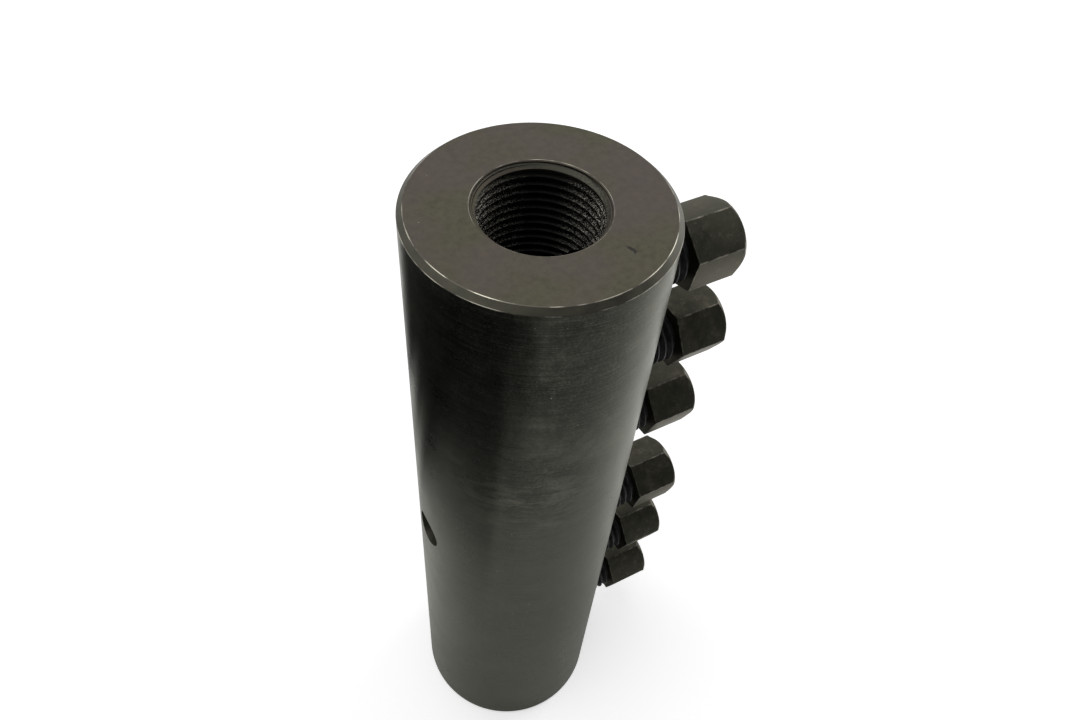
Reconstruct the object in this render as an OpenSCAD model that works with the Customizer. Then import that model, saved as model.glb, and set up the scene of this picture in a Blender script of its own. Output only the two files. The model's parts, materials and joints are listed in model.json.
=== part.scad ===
/* [Sleeve] */
// Outside diameter of the sleeve
sleeve_d = 54; // [46:0.5:64]
// Length of the sleeve from end face to end face
sleeve_l = 202; // [190:1:260]
// Width of the 45 degree edge turned on both ends
edge_chamfer = 1.2; // [0.4:0.1:3]

/* [Bar bore] */
// Diameter of the bore at the crests of its thread
bore_d = 24.8; // [20:0.1:25.5]
// Diameter of the 45 degree mouth at both ends of the bore
mouth_d = 27.3; // [26:0.1:34]

/* [Inspection hole] */
// Diameter of the hole that shows where the two bars meet
inspection_d = 10; // [4:0.5:16]

/* [Bolt row] */
// Distance between neighbouring bolts of one bar
bolt_pitch = 27.8; // [23:0.1:31]
// Distance between the two bolts on either side of mid-length
middle_gap = 40.5; // [30:0.5:46]
// Distance from the sleeve's surface to the underside of a head
head_standoff = 9.1; // [7.5:0.1:12]
// Distance from the bore's crests to the tip of a bolt
tip_gap = 1.7; // [1.6:0.1:4]
// Turns by which each bolt was left further out than the rest, from the top down
turns_out = [-0.5, 0.6, -0.75, 0.4, 0.3, -0.1];
// Angle at which each head was left, from the top down
head_angle = [38, 57, 49, 33, 36, 37];

/* [Bolt head] */
// Width of the hexagon across its flats
hex_af = 16.7; // [16.2:0.1:19]
// Height of the head, chamfer included
head_h = 13.7; // [9:0.1:18]
// Diameter of the flat crown inside the head's 45 degree chamfer
crown_d = 16.1; // [12:0.1:16.1]

/* [Bolt shank] */
// Outside diameter of the bolt's thread
thread_d = 14; // [12:0.1:14.2]
// Distance that a bolt moves in one full turn
thread_pitch = 2; // [1:0.25:2]
// Diameter of the groove under the head, where the bolt shears off
shear_groove_d = 11.5; // [9:0.1:11.8]
// Width of the groove under the head
shear_groove_w = 0.8; // [0.5:0.1:2]
// Diameter of the flat at the end of the 45 degree point
tip_d = 4; // [1:0.5:6]
// Radial play between a bolt's thread and its hole
thread_play = 0.05; // [0.02:0.01:0.1]

/* [Hidden] */
ROUND = 96;
STEEL = [0.24, 0.23, 0.21];
BOLT_STEEL = [0.17, 0.17, 0.16];
sleeve_r = sleeve_d / 2;
bore_r = bore_d / 2;
mouth_r = mouth_d / 2;
mouth_depth = mouth_r - bore_r;
corner_r = hex_af / 2 / cos(30);
crown_r = crown_d / 2;
thread_r = thread_d / 2;
shear_groove_r = shear_groove_d / 2;
tip_r = tip_d / 2;
tip_x = bore_r + tip_gap;
shank_l = sleeve_r + head_standoff - tip_x;
thread_top = shank_l - shear_groove_w;
bolts_per_bar = len(turns_out) / 2;

// Height of a bolt above mid-length, counted from the top bolt down
function bolt_z(index) =
    index < bolts_per_bar
        ? middle_gap / 2 + (bolts_per_bar - 1 - index) * bolt_pitch
        : -middle_gap / 2 - (index - bolts_per_bar) * bolt_pitch;

// Places a shape drawn along +Z on the radius that a bolt lies on
module on_bolt_axis(index, distance = 0)
    translate([distance, 0, bolt_z(index)])
        rotate([0, 90, 0])
            children();

// Half section of the turned sleeve: outer edges and both mouths at 45 degrees
module sleeve_section() {
    half_l = sleeve_l / 2;
    polygon([
        [bore_r, -half_l + mouth_depth],
        [mouth_r, -half_l],
        [sleeve_r - edge_chamfer, -half_l],
        [sleeve_r, -half_l + edge_chamfer],
        [sleeve_r, half_l - edge_chamfer],
        [sleeve_r - edge_chamfer, half_l],
        [mouth_r, half_l],
        [bore_r, half_l - mouth_depth]
    ]);
}

// One turned tube, drilled along one side for the bolts and opposite them at mid-length
module sleeve()
    color(STEEL)
        difference() {
            rotate_extrude($fn = ROUND)
                sleeve_section();
            for (index = [0 : 2 * bolts_per_bar - 1])
                on_bolt_axis(index)
                    cylinder(r = thread_r + thread_play, h = sleeve_d, $fn = ROUND);
            rotate([0, -90, 0])
                cylinder(d = inspection_d, h = sleeve_d, $fn = ROUND);
        }

// Half section of a bolt's shank, from its point at zero to its root inside the head
module shank_section()
    polygon([
        [0, 0],
        [tip_r, 0],
        [thread_r, thread_r - tip_r],
        [thread_r, thread_top],
        [shear_groove_r, thread_top],
        [shear_groove_r, shank_l + head_h / 2],
        [0, shank_l + head_h / 2]
    ]);

// Cone that chamfers the outer end of the hexagon at 45 degrees, down to the crown
module head_chamfer()
    polygon([
        [0, 0],
        [crown_r + head_h, 0],
        [crown_r, head_h],
        [0, head_h]
    ]);

// Shear bolt: chamfered hexagon, shear groove, threaded shank and conical point
module shear_bolt(index)
    color(BOLT_STEEL)
        on_bolt_axis(index, tip_x + turns_out[index] * thread_pitch) {
            rotate_extrude($fn = ROUND)
                shank_section();
            translate([0, 0, shank_l])
                intersection() {
                    rotate([0, 0, 30 + head_angle[index]])
                        cylinder(r = corner_r, h = head_h, $fn = 6);
                    rotate_extrude($fn = ROUND)
                        head_chamfer();
                }
        }

sleeve();
shear_bolt(0);  // shear_bolt_1
shear_bolt(1);  // shear_bolt_2
shear_bolt(2);  // shear_bolt_3
shear_bolt(3);  // shear_bolt_4
shear_bolt(4);  // shear_bolt_5
shear_bolt(5);  // shear_bolt_6
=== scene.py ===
import json
import math

import bmesh
import bpy
from mathutils import Matrix, Vector


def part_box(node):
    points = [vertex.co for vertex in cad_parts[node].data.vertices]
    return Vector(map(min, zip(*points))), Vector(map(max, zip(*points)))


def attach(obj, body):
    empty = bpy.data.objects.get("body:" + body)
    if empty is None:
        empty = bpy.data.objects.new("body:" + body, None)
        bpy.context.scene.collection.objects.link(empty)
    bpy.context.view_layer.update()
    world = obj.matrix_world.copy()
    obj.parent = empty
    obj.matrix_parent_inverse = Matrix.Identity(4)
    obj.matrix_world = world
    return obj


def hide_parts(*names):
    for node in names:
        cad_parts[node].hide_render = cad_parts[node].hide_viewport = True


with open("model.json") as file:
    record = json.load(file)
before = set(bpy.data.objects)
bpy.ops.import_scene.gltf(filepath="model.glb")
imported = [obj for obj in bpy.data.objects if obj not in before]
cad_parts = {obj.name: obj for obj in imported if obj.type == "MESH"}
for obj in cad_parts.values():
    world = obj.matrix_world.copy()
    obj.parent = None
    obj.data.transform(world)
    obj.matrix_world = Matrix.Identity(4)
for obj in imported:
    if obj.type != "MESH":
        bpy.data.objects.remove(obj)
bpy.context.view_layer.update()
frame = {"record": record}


# ---------------------------------------------------------------------------
# Sleeve. A thick steel tube turned from bar, with its end faces faced square,
# a 45 degree edge and mouth at both ends, and a 2 mm thread cut right through
# the bore. Six tapped holes in a row and one inspection hole open into it.
# ---------------------------------------------------------------------------

def mm(value):
    """Length in metres of one given in millimetres."""
    return value / 1000


sleeve_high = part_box("sleeve")[1]
sleeve_r = sleeve_high.y
half_length = sleeve_high.z
edge_chamfer = mm(1.2)
mount_sizes = {mount["name"]: mount["dims"] for mount in frame["record"]["mounts"]}
bore_r = mm(mount_sizes["bar_bore"]["r_mm"])
bore_groove_r = mm(13.5)
mouth_r = mm(13.65)
inspection_r = mm(mount_sizes["inspection_hole"]["r_mm"])
bore_pitch = mm(2)
bolt_thread_r = mm(7)
bolt_play = mm(0.05)
bolt_hole_r = bolt_thread_r + bolt_play
crest_flat = mm(0.25)
merge_gap = mm(0.002)
bolt_names = [f"shear_bolt_{number}" for number in range(1, 7)]
bolt_heights = [sum(corner.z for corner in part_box(name)) / 2 for name in bolt_names]


def linear(code):
    """Colour written as a six-digit sRGB code, turned to linear values."""
    parts = [int(code[start:start + 2], 16) / 255 for start in (1, 3, 5)]
    return [c / 12.92 if c <= 0.04045 else ((c + 0.055) / 1.055) ** 2.4 for c in parts] + [1]


def add_node(tree, kind, links=None, stops=(), **settings):
    """Adds a node with its properties, inputs, links and (position, colour) stops."""
    node = tree.nodes.new(kind)
    for name, value in settings.items():
        if hasattr(node, name):
            setattr(node, name, value)
        else:
            value = linear(value) if isinstance(value, str) else value
            node.inputs[name.replace("_", " ")].default_value = value
    for name, source in (links or {}).items():
        tree.links.new(source, node.inputs[name])
    for index, (position, code) in enumerate(stops):
        if index < 2:
            stop = node.color_ramp.elements[index]
            stop.position = position
        else:
            stop = node.color_ramp.elements.new(position)
        stop.color = linear(code)
    return node


def new_material(name, metallic, roughness):
    """Material with its own node tree, and Object coordinates to draw its finish by."""
    material = bpy.data.materials.new(name)
    material.use_nodes = True
    tree = material.node_tree
    surface = tree.nodes["Principled BSDF"]
    surface.inputs["Metallic"].default_value = metallic
    surface.inputs["Roughness"].default_value = roughness
    return material, tree, surface, add_node(tree, "ShaderNodeTexCoord").outputs["Object"]


def mark(tree, place, centre, size, turn=0):
    """One at the centre of a small oval mark, falling to zero at its rim."""
    local = add_node(tree, "ShaderNodeMapping", {"Vector": place}, vector_type="TEXTURE",
                     Location=centre, Rotation=(0, 0, math.radians(turn)), Scale=size)
    return add_node(tree, "ShaderNodeTexGradient", {"Vector": local.outputs["Vector"]},
                    gradient_type="SPHERICAL").outputs["Fac"]


# Turned steel under a thin grey oxide: the lathe's feed leaves fine rings round
# the sleeve, which smear what it mirrors up and down, and the oxide is grainy.
# Handling has scuffed the front above mid-height, and left bright specks and
# dark pits. The feed is drawn at 0.35 mm, coarser than the real one, to show.
side_steel, tree, surface, place = new_material("oxidised turned steel", metallic=0.9, roughness=0.27)
surface.inputs["Specular Tint"].default_value = linear("#f8f8f0")
surface.inputs["Anisotropic"].default_value = 0.6
surface.inputs["Anisotropic Rotation"].default_value = 0.25
mottle = add_node(tree, "ShaderNodeTexNoise", {"Vector": place},
                  Scale=1 / mm(9), Detail=6, Roughness=0.62)
oxide = add_node(tree, "ShaderNodeValToRGB", {"Fac": mottle.outputs["Fac"]},
                 stops=[(0.3, "#353630"), (0.7, "#43453c")]).outputs["Color"]
feed_marks = add_node(tree, "ShaderNodeMapping", {"Vector": place}, Scale=(30, 30, 1 / mm(0.35)))
rings = add_node(tree, "ShaderNodeTexNoise", {"Vector": feed_marks.outputs["Vector"]},
                 Scale=1, Detail=2, Roughness=0.6)
ring_tone = add_node(tree, "ShaderNodeValToRGB", {"Fac": rings.outputs["Fac"]},
                     stops=[(0.35, "#767676"), (0.6, "#ffffff")]).outputs["Color"]
patches = add_node(tree, "ShaderNodeTexNoise", {"Vector": place}, Scale=1 / mm(22), Detail=2)
axes = add_node(tree, "ShaderNodeSeparateXYZ", {"Vector": place})
upper = add_node(tree, "ShaderNodeMapRange", {"Value": axes.outputs["Z"]},
                 From_Min=mm(10), From_Max=mm(70), To_Min=0.25, To_Max=1)
patch = add_node(tree, "ShaderNodeMapRange", {"Value": patches.outputs["Fac"]},
                 From_Min=0.38, From_Max=0.6, To_Min=0.3, To_Max=1)
ringed = add_node(tree, "ShaderNodeMath", {0: upper.outputs["Result"], 1: patch.outputs["Result"]},
                  operation="MULTIPLY")
oxide = add_node(tree, "ShaderNodeMixRGB",
                 {"Fac": ringed.outputs["Value"], "Color1": oxide, "Color2": ring_tone},
                 blend_type="MULTIPLY").outputs["Color"]
grain = add_node(tree, "ShaderNodeTexNoise", {"Vector": place},
                 Scale=1 / mm(0.5), Detail=3, Roughness=0.75)
grain_tone = add_node(tree, "ShaderNodeValToRGB", {"Fac": grain.outputs["Fac"]},
                      stops=[(0.38, "#5e5e5e"), (0.5, "#ababab"), (0.6, "#ffffff")]).outputs["Color"]
oxide = add_node(tree, "ShaderNodeMixRGB",
                 {"Fac": ringed.outputs["Value"], "Color1": oxide, "Color2": grain_tone},
                 blend_type="MULTIPLY").outputs["Color"]
blotches = add_node(tree, "ShaderNodeTexNoise", {"Vector": place},
                    Scale=1 / mm(2.5), Detail=6, Roughness=0.7)
blotch_tone = add_node(tree, "ShaderNodeValToRGB", {"Fac": blotches.outputs["Fac"]},
                       stops=[(0.36, "#b0b0b0"), (0.62, "#ffffff")]).outputs["Color"]
oxide = add_node(tree, "ShaderNodeMixRGB",
                 {"Fac": upper.outputs["Result"], "Color1": oxide, "Color2": blotch_tone},
                 blend_type="MULTIPLY").outputs["Color"]
wiped = add_node(tree, "ShaderNodeMapping", {"Vector": place},
                 Rotation=(0.3, 0.2, 0), Scale=(1, 1, 2.2))
wisps = add_node(tree, "ShaderNodeTexNoise", {"Vector": wiped.outputs["Vector"]},
                 Scale=1 / mm(9), Detail=5, Roughness=0.7, Distortion=0.3)
wisp = add_node(tree, "ShaderNodeMapRange", {"Value": wisps.outputs["Fac"]},
                From_Min=0.46, From_Max=0.72)
handled = mark(tree, place, centre=(mm(-14.3), mm(-22.9), mm(40)), size=(mm(26), mm(26), mm(22)))
scuffed = add_node(tree, "ShaderNodeMath", {0: wisp.outputs["Result"], 1: handled},
                   operation="MULTIPLY")
oxide = add_node(tree, "ShaderNodeMixRGB", {"Fac": scuffed.outputs["Value"], "Color1": oxide},
                 Color2="#64645a").outputs["Color"]
specks = add_node(tree, "ShaderNodeTexVoronoi", {"Vector": place}, Scale=1 / mm(4))
speck = add_node(tree, "ShaderNodeMapRange", {"Value": specks.outputs["Distance"]},
                 From_Min=0.02, From_Max=0.045, To_Min=0.7, To_Max=0)
oxide = add_node(tree, "ShaderNodeMixRGB", {"Fac": speck.outputs["Result"], "Color1": oxide},
                 Color2="#8f8c81").outputs["Color"]
pits = add_node(tree, "ShaderNodeTexVoronoi", {"Vector": place}, Scale=1 / mm(14))
pit = add_node(tree, "ShaderNodeMapRange", {"Value": pits.outputs["Distance"]},
               From_Min=0.012, From_Max=0.028, To_Min=0.75, To_Max=0)
oxide = add_node(tree, "ShaderNodeMixRGB", {"Fac": pit.outputs["Result"], "Color1": oxide},
                 Color2="#141412").outputs["Color"]
tree.links.new(oxide, surface.inputs["Base Color"])
gloss = add_node(tree, "ShaderNodeMapRange", {"Value": mottle.outputs["Fac"]}, To_Min=0.22, To_Max=0.36)
gloss = add_node(tree, "ShaderNodeMath", {0: scuffed.outputs["Value"], 2: gloss.outputs["Result"]},
                 operation="MULTIPLY_ADD")
gloss.inputs[1].default_value = 0.2
tree.links.new(gloss.outputs["Value"], surface.inputs["Roughness"])
bump = add_node(tree, "ShaderNodeBump", {"Height": rings.outputs["Fac"]},
                Strength=0.16, Distance=mm(0.1))
tree.links.new(bump.outputs["Normal"], surface.inputs["Normal"])

# Faced steel: the flat ends and the mouths have a matt oxide with hardly any
# shine, clouded from olive to brown, with fine grain. The upper end has one
# short dark nick with a spur.
face_steel, tree, surface, place = new_material("oxidised faced steel", metallic=0.6, roughness=0.6)
clouds = add_node(tree, "ShaderNodeTexNoise", {"Vector": place}, Scale=1 / mm(14), Detail=4)
oxide = add_node(tree, "ShaderNodeValToRGB", {"Fac": clouds.outputs["Fac"]},
                 stops=[(0.36, "#524a44"), (0.64, "#4e4b3b")]).outputs["Color"]
grain = add_node(tree, "ShaderNodeTexNoise", {"Vector": place},
                 Scale=1 / mm(1.6), Detail=5, Roughness=0.7)
grain_tone = add_node(tree, "ShaderNodeValToRGB", {"Fac": grain.outputs["Fac"]},
                      stops=[(0.36, "#cdcdcd"), (0.6, "#ffffff")]).outputs["Color"]
oxide = add_node(tree, "ShaderNodeMixRGB",
                 {"Fac": clouds.outputs["Fac"], "Color1": oxide, "Color2": grain_tone},
                 blend_type="MULTIPLY").outputs["Color"]
specks = add_node(tree, "ShaderNodeTexVoronoi", {"Vector": place}, Scale=1 / mm(7))
speck = add_node(tree, "ShaderNodeMapRange", {"Value": specks.outputs["Distance"]},
                 From_Min=0.012, From_Max=0.025, To_Min=0.7, To_Max=0)
oxide = add_node(tree, "ShaderNodeMixRGB", {"Fac": speck.outputs["Result"], "Color1": oxide},
                 Color2="#8f8b7e").outputs["Color"]
nick = mark(tree, place, centre=(mm(9.2), mm(-17.1), half_length),
            size=(mm(1.6), mm(0.5), mm(1)), turn=-62)
spur = mark(tree, place, centre=(mm(9.35), mm(-17.95), half_length),
            size=(mm(0.75), mm(0.3), mm(1)), turn=50)
both = add_node(tree, "ShaderNodeMath", {0: nick, 1: spur}, operation="MAXIMUM")
nicked = add_node(tree, "ShaderNodeMapRange", {"Value": both.outputs["Value"]},
                  From_Min=0.1, From_Max=0.45)
oxide = add_node(tree, "ShaderNodeMixRGB", {"Fac": nicked.outputs["Result"], "Color1": oxide},
                 Color2="#262420").outputs["Color"]
tree.links.new(oxide, surface.inputs["Base Color"])
bump = add_node(tree, "ShaderNodeBump", {"Height": nicked.outputs["Result"]},
                Strength=0.8, Distance=mm(0.2), invert=True)
tree.links.new(bump.outputs["Normal"], surface.inputs["Normal"])

# Chamfered steel: the 45 degree outer edges and the walls of the drilled holes
# keep a smooth darker oxide, with an even satin shine.
edge_steel, tree, surface, place = new_material("oxidised chamfer", metallic=0.85, roughness=0.5)
mottle = add_node(tree, "ShaderNodeTexNoise", {"Vector": place}, Scale=1 / mm(4), Detail=5)
oxide = add_node(tree, "ShaderNodeValToRGB", {"Fac": mottle.outputs["Fac"]},
                 stops=[(0.3, "#424138"), (0.7, "#514f45")]).outputs["Color"]
tree.links.new(oxide, surface.inputs["Base Color"])

# Rubbed corner: handling has taken the oxide off the sharp corners in places,
# down to bare grey steel that catches the light as a thin bright line.
bare_steel, tree, surface, place = new_material("rubbed sleeve corner", metallic=0.9, roughness=0.35)
wear = add_node(tree, "ShaderNodeTexNoise", {"Vector": place}, Scale=1 / mm(6), Detail=5)
oxide = add_node(tree, "ShaderNodeValToRGB", {"Fac": wear.outputs["Fac"]},
                 stops=[(0.44, "#46443d"), (0.6, "#aca89b")]).outputs["Color"]
tree.links.new(oxide, surface.inputs["Base Color"])

# Cut thread: black oxide over rough flanks. Fine bright specks on two opposite
# sides are painted highlights, where the flanks would glint. The first turn at
# each end is painted lighter grey as painted light near the mouth, and the
# deeper turns stay black: black oxide with painted shade down the bore.
thread_steel, tree, surface, place = new_material("black cut thread", metallic=0.85, roughness=0.48)
surface.inputs["Specular Tint"].default_value = linear("#505050")
grain = add_node(tree, "ShaderNodeTexNoise", {"Vector": place}, Scale=1 / mm(0.25), Detail=2)
black = add_node(tree, "ShaderNodeValToRGB", {"Fac": grain.outputs["Fac"]},
                 stops=[(0.35, "#0e0e0e"), (0.65, "#1c1c1b")]).outputs["Color"]
# Painted highlights: bright specks on two opposite sides of the bore only, where the flanks would
# glint.
across = add_node(tree, "ShaderNodeMapping", {"Vector": place}, Rotation=(0, 0, math.radians(32)))
across = add_node(tree, "ShaderNodeSeparateXYZ", {"Vector": across.outputs["Vector"]})
sideways = add_node(tree, "ShaderNodeMath", {"Value": across.outputs["X"]}, operation="ABSOLUTE")
painted_glint_sides = add_node(tree, "ShaderNodeMapRange", {"Value": sideways.outputs["Value"]},
                From_Min=mm(3), From_Max=mm(11))
speck = add_node(tree, "ShaderNodeMapRange", {"Value": grain.outputs["Fac"]},
                 From_Min=0.5, From_Max=0.66)
painted_glints = add_node(tree, "ShaderNodeMath", {0: painted_glint_sides.outputs["Result"], 1: speck.outputs["Result"]},
                operation="MULTIPLY")
oxide = add_node(tree, "ShaderNodeMixRGB", {"Fac": painted_glints.outputs["Value"], "Color1": black},
                 Color2="#98948a").outputs["Color"]
# Painted light: the first turn at each end is lighter grey, and the deeper turns are left black as
# painted shade.
axes = add_node(tree, "ShaderNodeSeparateXYZ", {"Vector": place})
from_middle = add_node(tree, "ShaderNodeMath", {"Value": axes.outputs["Z"]}, operation="ABSOLUTE")
painted_mouth_light = add_node(tree, "ShaderNodeMapRange", {"Value": from_middle.outputs["Value"]},
                From_Min=half_length - mm(3.2), From_Max=half_length - mm(2.4), To_Max=0.8)
oxide = add_node(tree, "ShaderNodeMixRGB", {"Fac": painted_mouth_light.outputs["Result"], "Color1": oxide},
                 Color2="#3c3b34").outputs["Color"]
tree.links.new(oxide, surface.inputs["Base Color"])
bump = add_node(tree, "ShaderNodeBump", {"Height": grain.outputs["Fac"]},
                Strength=0.3, Distance=mm(0.1))
tree.links.new(bump.outputs["Normal"], surface.inputs["Normal"])

sleeve_finishes = [side_steel, face_steel, edge_steel, thread_steel, bare_steel]


def turned(section, steps):
    """Mesh turned from a closed half section of (radius, height) points."""
    bm = bmesh.new()
    corners = [bm.verts.new((radius, 0, height)) for radius, height in section]
    edges = [bm.edges.new(pair) for pair in zip(corners, corners[1:] + corners[:1])]
    bmesh.ops.spin(bm, geom=corners + edges, cent=(0, 0, 0), axis=(0, 0, 1), dvec=(0, 0, 0),
                   angle=math.tau, steps=steps, use_merge=True)
    bmesh.ops.remove_doubles(bm, verts=bm.verts, dist=merge_gap)
    bmesh.ops.dissolve_degenerate(bm, edges=bm.edges, dist=merge_gap)
    bmesh.ops.recalc_face_normals(bm, faces=bm.faces)
    return bm


def threaded_rod(core_r, crest_r, pitch, turns, steps):
    """Right-hand thread of 60 degrees on a solid core, closed at both ends."""
    flank = (crest_r - core_r) * math.tan(math.radians(30))
    root_flat = pitch - crest_flat - 2 * flank
    tooth = [(core_r, 0), (core_r, root_flat), (crest_r, root_flat + flank),
             (crest_r, root_flat + flank + crest_flat), (core_r, pitch)]
    bm = bmesh.new()
    corners = [bm.verts.new((radius, 0, height)) for radius, height in tooth]
    edges = [bm.edges.new(pair) for pair in zip(corners, corners[1:])]
    bmesh.ops.spin(bm, geom=corners + edges, cent=(0, 0, 0), axis=(0, 0, 1),
                   dvec=(0, 0, pitch / steps), angle=math.tau, steps=steps)
    one_turn = bm.verts[:] + bm.edges[:] + bm.faces[:]
    for turn in range(1, turns):
        copy = bmesh.ops.duplicate(bm, geom=one_turn)["geom"]
        raised = [part for part in copy if isinstance(part, bmesh.types.BMVert)]
        bmesh.ops.translate(bm, verts=raised, vec=(0, 0, turn * pitch))
    bmesh.ops.remove_doubles(bm, verts=bm.verts, dist=merge_gap)
    length = pitch * (turns + 1)
    for end in (0, length):
        rim = [edge for edge in bm.edges
               if edge.is_boundary and all(abs(v.co.z - end) < 1.01 * pitch for v in edge.verts)]
        cap = bmesh.ops.extrude_edge_only(bm, edges=rim)["geom"]
        inner = [part for part in cap if isinstance(part, bmesh.types.BMVert)]
        bmesh.ops.pointmerge(bm, verts=inner, merge_co=(0, 0, end))
    bmesh.ops.recalc_face_normals(bm, faces=bm.faces)
    return bm


def placed(bm, matrix):
    """Moves a mesh by a matrix and hands it back."""
    bmesh.ops.transform(bm, matrix=matrix, verts=bm.verts)
    return bm


def workpiece(name, bm, finishes):
    """Object made from a mesh, with its finishes in slots."""
    mesh = bpy.data.meshes.new(name)
    bm.to_mesh(mesh)
    bm.free()
    for finish in finishes:
        mesh.materials.append(finish)
    piece = bpy.data.objects.new(name, mesh)
    bpy.context.scene.collection.objects.link(piece)
    return piece


def finished(piece, finish):
    """Gives every face of a piece or tool the finish in one slot."""
    for polygon in piece.data.polygons:
        polygon.material_index = finish
    return piece


def machined(piece, tool, operation="DIFFERENCE"):
    """Cuts a tool's shape from a piece, or joins or trims the piece with it."""
    cut = piece.modifiers.new("cut", "BOOLEAN")
    cut.object = tool
    cut.operation = operation
    cut.solver = "MANIFOLD"
    bpy.context.view_layer.update()
    result = piece.evaluated_get(bpy.context.evaluated_depsgraph_get())
    piece.data = bpy.data.meshes.new_from_object(result)
    piece.modifiers.clear()
    bpy.data.objects.remove(tool)


# The mouth as (radius, depth) points from the bore outwards, with two fine
# grooves that the turning tool left in its 45 degree wall.
groove_radii = (mm(12.95), mm(13.3))
groove_half = mm(0.1)
groove_bite = mm(0.18)
mouth = [(bore_r, mouth_r - bore_r)]
for groove_mid_r in groove_radii:
    groove_mid_depth = mouth_r - groove_mid_r
    mouth += [(groove_mid_r - groove_half, groove_mid_depth + groove_half),
              (groove_mid_r + groove_bite, groove_mid_depth + groove_bite),
              (groove_mid_r + groove_half, groove_mid_depth - groove_half)]
mouth.append((mouth_r, 0))
blank = turned([(radius, depth - half_length) for radius, depth in mouth] + [
    (sleeve_r - edge_chamfer, -half_length),
    (sleeve_r, -half_length + edge_chamfer),
    (sleeve_r, half_length - edge_chamfer),
    (sleeve_r - edge_chamfer, half_length)] + [
    (radius, half_length - depth) for radius, depth in reversed(mouth)], steps=192)

# Worn corners: the two corners of each outer edge, then the finer rims of the
# mouths. Each is found by the radii it lies between, and has its own width.
outer_corners = (mouth_r + mm(1), sleeve_r + mm(1), mm(0.09))
mouth_rims = (mouth_r - mm(0.01), mouth_r + mm(0.01), mm(0.04))
for inner_r, outer_r, width in (outer_corners, mouth_rims):
    corners = [edge for edge in blank.edges
               if edge.calc_face_angle(0) > math.radians(40)
               and all(inner_r < math.hypot(*v.co.xy) < outer_r for v in edge.verts)]
    bmesh.ops.bevel(blank, geom=corners, offset=width, affect="EDGES", segments=1, profile=0.5,
                    material=sleeve_finishes.index(bare_steel))
sleeve = workpiece("sleeve_turned", blank, sleeve_finishes)
flat_slope = 0.99
chamfer_slope = 0.5
for polygon in sleeve.data.polygons:
    slope = abs(polygon.normal.z)
    inside = math.hypot(*polygon.center.xy) < mouth_r
    if polygon.material_index == 0 and slope > flat_slope:
        polygon.material_index = sleeve_finishes.index(face_steel)
    elif polygon.material_index == 0 and slope > chamfer_slope:
        polygon.material_index = sleeve_finishes.index(face_steel if inside else edge_steel)
    elif inside:
        polygon.material_index = sleeve_finishes.index(thread_steel)

# A tap cuts the thread right through, then a drill makes each hole. The core
# of the tap stays just inside the bore, so that the crests keep their size.
cut_finish = sleeve_finishes.index(thread_steel)
drilled_finish = sleeve_finishes.index(edge_steel)
tap_core_r = bore_r - mm(0.1)
tap_turns = math.ceil(2 * half_length / bore_pitch) + 2
tap = threaded_rod(tap_core_r, bore_groove_r, bore_pitch, tap_turns, steps=80)
tap_start = -bore_pitch * (tap_turns + 1) / 2
tap = workpiece("tap", placed(tap, Matrix.Translation((0, 0, tap_start))), sleeve_finishes)
machined(sleeve, finished(tap, cut_finish))
holes = [(bolt_hole_r, height, 90) for height in bolt_heights] + [(inspection_r, 0, -90)]
for hole_r, height, turn in holes:
    drill = turned([(0, 0), (hole_r, 0), (hole_r, 2 * sleeve_r), (0, 2 * sleeve_r)], steps=64)
    across = Matrix.Translation((0, 0, height)) @ Matrix.Rotation(math.radians(turn), 4, "Y")
    drill = workpiece("drill", placed(drill, across), sleeve_finishes)
    machined(sleeve, finished(drill, drilled_finish))


def smoothed(piece):
    """Shades curved faces smooth and keeps edges sharper than 15 degrees."""
    for polygon in piece.data.polygons:
        polygon.use_smooth = True
    piece.data.set_sharp_from_angle(angle=math.radians(15))


smoothed(sleeve)
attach(sleeve, "sleeve")
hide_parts("sleeve")


# ---------------------------------------------------------------------------
# Shear bolts. Six equal bolts turned from hexagon bar: a chamfered head, a
# groove under it where the head shears off, a 2 mm thread and a blunt point.
# They are blackened, and a spanner has rubbed the corners of the heads.
# ---------------------------------------------------------------------------

# How far each head is turned, in degrees, from the top bolt down
head_turns = [38, 57, 49, 42, 50, 50]
head_af = mm(16.7)
head_corner_r = head_af / 2 / math.cos(math.radians(30))
head_height = mm(13.7)
crown_r = mm(8.05)
shear_groove_r = mm(5.75)
shear_groove_width = mm(0.8)
corner_rounding = mm(0.3)
tip_r = mm(2)
bolt_pitch = mm(2)
bolt_root_r = mm(5.77)
overshoot = mm(1)
bolt_steps = 96
bolt_low, bolt_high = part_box(bolt_names[0])
shank_length = bolt_high.x - bolt_low.x - head_height
thread_top = shank_length - shear_groove_width

# Black oxide: a thin black skin on the machined steel, satin where it is flat,
# with paler dull patches where spanners have scuffed it.
head_steel, tree, surface, place = new_material("blackened bolt head", metallic=0.85, roughness=0.4)
surface.inputs["Specular Tint"].default_value = linear("#f4f1e6")
mottle = add_node(tree, "ShaderNodeTexNoise", {"Vector": place},
                  Scale=1 / mm(4), Detail=6, Roughness=0.65)
oxide = add_node(tree, "ShaderNodeValToRGB", {"Fac": mottle.outputs["Fac"]},
                 stops=[(0.3, "#2b2c25"), (0.56, "#38372f"), (0.72, "#4f4b40")]).outputs["Color"]
scuffs = add_node(tree, "ShaderNodeTexNoise", {"Vector": place},
                  Scale=1 / mm(1.3), Detail=5, Roughness=0.75)
scuff = add_node(tree, "ShaderNodeMapRange", {"Value": scuffs.outputs["Fac"]},
                 From_Min=0.56, From_Max=0.76, To_Max=0.5)
oxide = add_node(tree, "ShaderNodeMixRGB", {"Fac": scuff.outputs["Result"], "Color1": oxide},
                 Color2="#625e53").outputs["Color"]
tree.links.new(oxide, surface.inputs["Base Color"])
gloss = add_node(tree, "ShaderNodeMapRange", {"Value": mottle.outputs["Fac"]}, To_Min=0.32, To_Max=0.55)
tree.links.new(gloss.outputs["Result"], surface.inputs["Roughness"])
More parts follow.
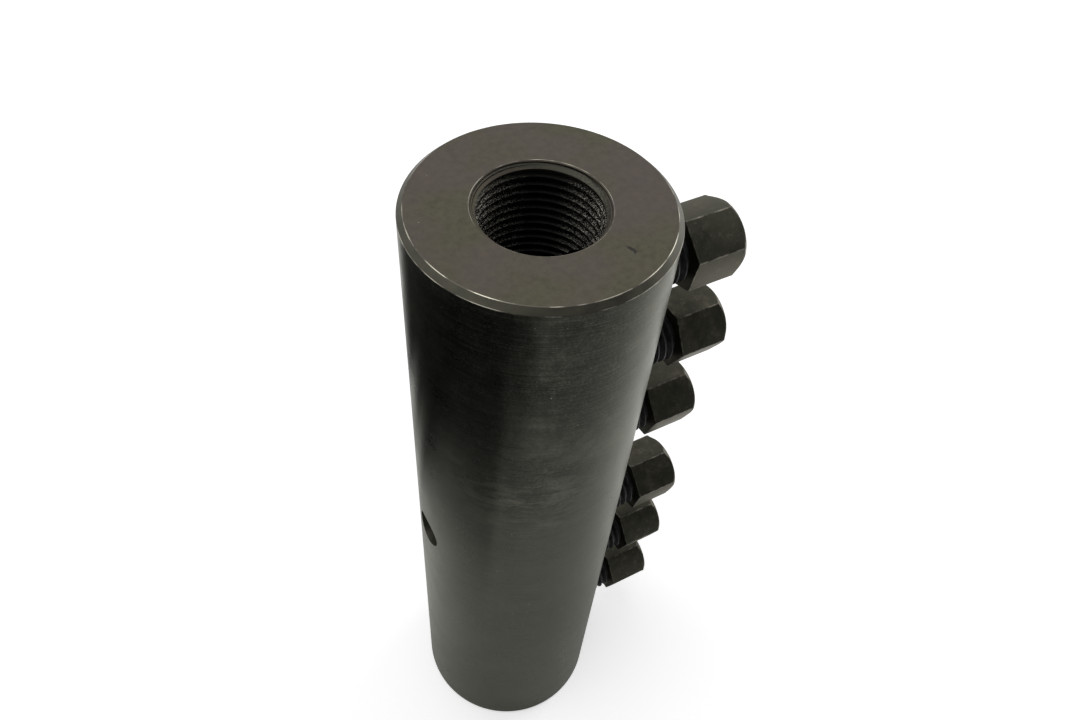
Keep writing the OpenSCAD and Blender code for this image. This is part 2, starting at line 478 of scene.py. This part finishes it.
grain = add_node(tree, "ShaderNodeTexNoise", {"Vector": place}, Scale=1 / mm(0.7), Detail=4)
bump = add_node(tree, "ShaderNodeBump", {"Height": grain.outputs["Fac"]},
                Strength=0.12, Distance=mm(0.1))
tree.links.new(bump.outputs["Normal"], surface.inputs["Normal"])

# Rubbed corner: spanner and handling have worn the oxide to grey steel in places.
rubbed_steel, tree, surface, place = new_material("rubbed bolt corner", metallic=0.85, roughness=0.4)
wear = add_node(tree, "ShaderNodeTexNoise", {"Vector": place}, Scale=1 / mm(2), Detail=5, Roughness=0.7)
oxide = add_node(tree, "ShaderNodeValToRGB", {"Fac": wear.outputs["Fac"]},
                 stops=[(0.42, "#37362f"), (0.66, "#7a766c")]).outputs["Color"]
tree.links.new(oxide, surface.inputs["Base Color"])
bump = add_node(tree, "ShaderNodeBump", {"Height": wear.outputs["Fac"]}, Strength=0.4, Distance=mm(0.1))
tree.links.new(bump.outputs["Normal"], surface.inputs["Normal"])

# Rolled bolt thread: thick black oxide that stays nearly black in the shade.
shank_steel, tree, surface, place = new_material("black bolt thread", metallic=0.8, roughness=0.5)
mottle = add_node(tree, "ShaderNodeTexNoise", {"Vector": place}, Scale=1 / mm(1.5), Detail=4)
oxide = add_node(tree, "ShaderNodeValToRGB", {"Fac": mottle.outputs["Fac"]},
                 stops=[(0.35, "#2d2e2f"), (0.7, "#424342")]).outputs["Color"]
tree.links.new(oxide, surface.inputs["Base Color"])

bolt_finishes = [head_steel, rubbed_steel, shank_steel]
shank_finish = bolt_finishes.index(shank_steel)
shank = turned([(0, 0), (tip_r, 0), (bolt_thread_r, bolt_thread_r - tip_r),
                (bolt_thread_r, thread_top), (0, thread_top)], bolt_steps)
shank = finished(workpiece("shank", shank, bolt_finishes), shank_finish)
# The die's crests stand just proud of the shank, which keeps its own diameter.
die_crest_r = bolt_thread_r + mm(0.02)
die_turns = 14
die = threaded_rod(bolt_root_r, die_crest_r, bolt_pitch, die_turns, steps=64)
die = workpiece("die", placed(die, Matrix.Translation((0, 0, -bolt_pitch))), bolt_finishes)
machined(shank, finished(die, shank_finish), "INTERSECT")

hexagon = bmesh.new()
bmesh.ops.create_cone(hexagon, cap_ends=True, segments=6, radius1=head_corner_r,
                      radius2=head_corner_r, depth=head_height)
hexagon = placed(hexagon, Matrix.Translation((0, 0, head_height / 2)))
head = workpiece("head", hexagon, bolt_finishes)
chamfer = turned([(0, -overshoot), (crown_r + head_height + overshoot, -overshoot),
                  (crown_r, head_height), (0, head_height)], bolt_steps)
machined(head, workpiece("chamfer", chamfer, bolt_finishes), "INTERSECT")
rounded = bmesh.new()
rounded.from_mesh(head.data)
bmesh.ops.dissolve_limit(rounded, angle_limit=math.radians(1),
                         verts=rounded.verts, edges=rounded.edges)
hard_edges = [edge for edge in rounded.edges if edge.calc_face_angle(0) > math.radians(35)]
bmesh.ops.bevel(rounded, geom=hard_edges, offset=corner_rounding, affect="EDGES", segments=3,
                profile=0.5, material=bolt_finishes.index(rubbed_steel), clamp_overlap=True)
for face in rounded.faces:
    if face.calc_center_median().z > head_height - overshoot:
        face.material_index = bolt_finishes.index(head_steel)
rounded.to_mesh(head.data)
rounded.free()
head.data.transform(Matrix.Translation((0, 0, shank_length)))
neck = turned([(0, thread_top - overshoot), (shear_groove_r, thread_top - overshoot),
               (shear_groove_r, shank_length + overshoot), (0, shank_length + overshoot)],
              bolt_steps)
machined(head, finished(workpiece("neck", neck, bolt_finishes), shank_finish), "UNION")

for number, (name, height, turn) in enumerate(zip(bolt_names, bolt_heights, head_turns), 1):
    bolt = bpy.data.objects.new(f"bolt_{number}_turned", shank.data.copy())
    turned_head = bpy.data.objects.new("turned_head", head.data.copy())
    for part in (bolt, turned_head):
        bpy.context.scene.collection.objects.link(part)
    turned_head.data.transform(Matrix.Rotation(math.radians(turn), 4, "Z"))
    machined(bolt, turned_head, "UNION")
    tip = Vector((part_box(name)[0].x, 0, height))
    bolt.data.transform(Matrix.Translation(tip) @ Matrix.Rotation(math.radians(90), 4, "Y"))
    smoothed(bolt)
    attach(bolt, f"bolt_{number}")
    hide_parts(name)
for part in (shank, head):
    bpy.data.objects.remove(part)


# ---------------------------------------------------------------------------
# Studio. The coupler stands on a white floor under soft lamps. Black cards lie
# on the floor on the inspection hole's side and a grey one stands round behind
# the camera: only the steel shows them, as darker bands.
# ---------------------------------------------------------------------------

scene = bpy.context.scene
scene.view_settings.view_transform = "Standard"

# White floor: it looks evenly white, with a faint soft shadow round the base.
# For mirrors only it glows, dark close to the coupler and grey further out: a
# painted reflection, with a painted shadow close to the coupler.
white_floor, tree, surface, place = new_material("white floor", metallic=0, roughness=0.7)
surface.inputs["Base Color"].default_value = linear("#f4f4f4")
surface.inputs["Emission Color"].default_value = (1, 1, 1, 1)
path = add_node(tree, "ShaderNodeLightPath")
flat = add_node(tree, "ShaderNodeMapping", {"Vector": place},
                Location=(mm(-7), mm(19), 0), Scale=(1, 1, 0))
distance = add_node(tree, "ShaderNodeVectorMath", {"Vector": flat.outputs["Vector"]},
                    operation="LENGTH")
# Painted reflection: the glow that the steel mirrors, dimmest near the coupler as a painted shadow.
clear = add_node(tree, "ShaderNodeMapRange", {"Value": distance.outputs["Value"]},
                 From_Min=mm(43), From_Max=mm(138), To_Min=0.07, To_Max=0.62)
mirrored = add_node(tree, "ShaderNodeMath",
                    {0: path.outputs["Is Glossy Ray"], 1: clear.outputs["Result"]},
                    operation="MULTIPLY")
shaded = add_node(tree, "ShaderNodeMapRange", {"Value": distance.outputs["Value"]},
                  From_Min=0.2, From_Max=1.2, To_Min=0.5, To_Max=1)
lift = add_node(tree, "ShaderNodeMath",
                {0: path.outputs["Is Camera Ray"], 1: shaded.outputs["Result"],
                 2: mirrored.outputs["Value"]}, operation="MULTIPLY_ADD")
tree.links.new(lift.outputs["Value"], surface.inputs["Emission Strength"])
floor = bmesh.new()
bmesh.ops.create_grid(floor, x_segments=1, y_segments=1, size=3)
floor = workpiece("floor", placed(floor, Matrix.Translation((0, 0, -half_length))), [white_floor])

# Card: matt paper, black or mid grey, that gives the steel its dark bands.
black_card, _, surface, _ = new_material("black card", metallic=0, roughness=0.9)
surface.inputs["Base Color"].default_value = linear("#101010")
grey_card, _, surface, _ = new_material("grey card", metallic=0, roughness=0.9)
surface.inputs["Base Color"].default_value = linear("#989898")


def ring_card(name, first, last, start, sweep, paper):
    """Part of a ring of card between two (radius, height) points, seen in mirrors only."""
    bm = bmesh.new()
    ends = [bm.verts.new((radius, 0, height)) for radius, height in (first, last)]
    edge = bm.edges.new(ends)
    bmesh.ops.spin(bm, geom=ends + [edge], cent=(0, 0, 0), axis=(0, 0, 1), dvec=(0, 0, 0),
                   angle=math.radians(sweep), steps=24)
    above_floor = Matrix.Translation((0, 0, mm(1) - half_length))
    bm = placed(bm, above_floor @ Matrix.Rotation(math.radians(start), 4, "Z"))
    card = workpiece(name, bm, [paper])
    card.visible_camera = False
    card.visible_diffuse = False
    card.visible_shadow = False


for name, inner_r, outer_r, start, sweep in (
        ("floor_card_outer", mm(170), mm(330), 102, 143),
        ("floor_card_middle", mm(140), mm(170), 102, 136),
        ("floor_card_inner", mm(114), mm(140), 114, 108),
        ("floor_card_near", mm(92), mm(114), 122, 95)):
    ring_card(name, (inner_r, 0), (outer_r, 0), start, sweep, black_card)
ring_card("wall_card", (mm(560), mm(60)), (mm(260), mm(760)), start=-145, sweep=112, paper=grey_card)

# The room is white to the camera and in mirrors, but gives little light, so
# that the lamps shape the steel.
world = bpy.data.worlds.new("studio")
scene.world = world
world.use_nodes = True
tree = world.node_tree
shown = tree.nodes["Background"]
shown.inputs["Color"].default_value = (1, 1, 1, 1)
shown.inputs["Strength"].default_value = 1
room = add_node(tree, "ShaderNodeBackground", Color=(1, 1, 1, 1), Strength=0.3)
path = add_node(tree, "ShaderNodeLightPath")
seen = add_node(tree, "ShaderNodeMath",
                {0: path.outputs["Is Camera Ray"], 1: path.outputs["Is Glossy Ray"]},
                operation="MAXIMUM")
mixed = add_node(tree, "ShaderNodeMixShader",
                 {0: seen.outputs["Value"], 1: room.outputs["Background"],
                  2: shown.outputs["Background"]})
tree.links.new(mixed.outputs["Shader"], tree.nodes["World Output"].inputs["Surface"])


def soft_lamp(name, power, size, spot):
    """Rectangular lamp at a spot, in metres, that faces the middle of the sleeve."""
    lamp = bpy.data.lights.new(name, "AREA")
    lamp.energy = power
    lamp.shape = "RECTANGLE"
    lamp.size, lamp.size_y = size
    stand = bpy.data.objects.new(name, lamp)
    scene.collection.objects.link(stand)
    stand.location = spot
    stand.rotation_euler = (-Vector(spot)).to_track_quat("-Z", "Y").to_euler()


soft_lamp("overhead_lamp", power=4, size=(0.9, 0.9), spot=(-0.2, 0.15, 0.95))
soft_lamp("side_lamp", power=2.4, size=(0.5, 1.0), spot=(0.85, 0.1, 0.35))

camera = bpy.data.objects.new("camera", bpy.data.cameras.new("camera"))
scene.collection.objects.link(camera)
camera.data.sensor_width = 36
camera.data.lens = 29.4
view_point = Vector((mm(-65.9), mm(-108.6), mm(208.7)))
view_azimuth = math.radians(57.65)
view_drop = math.radians(50.2)
view_roll = math.radians(5.5)
camera.matrix_world = (Matrix.Translation(view_point)
                       @ Matrix.Rotation(view_azimuth - math.radians(90), 4, "Z")
                       @ Matrix.Rotation(math.radians(90) - view_drop, 4, "X")
                       @ Matrix.Rotation(view_roll, 4, "Z"))
scene.camera = camera
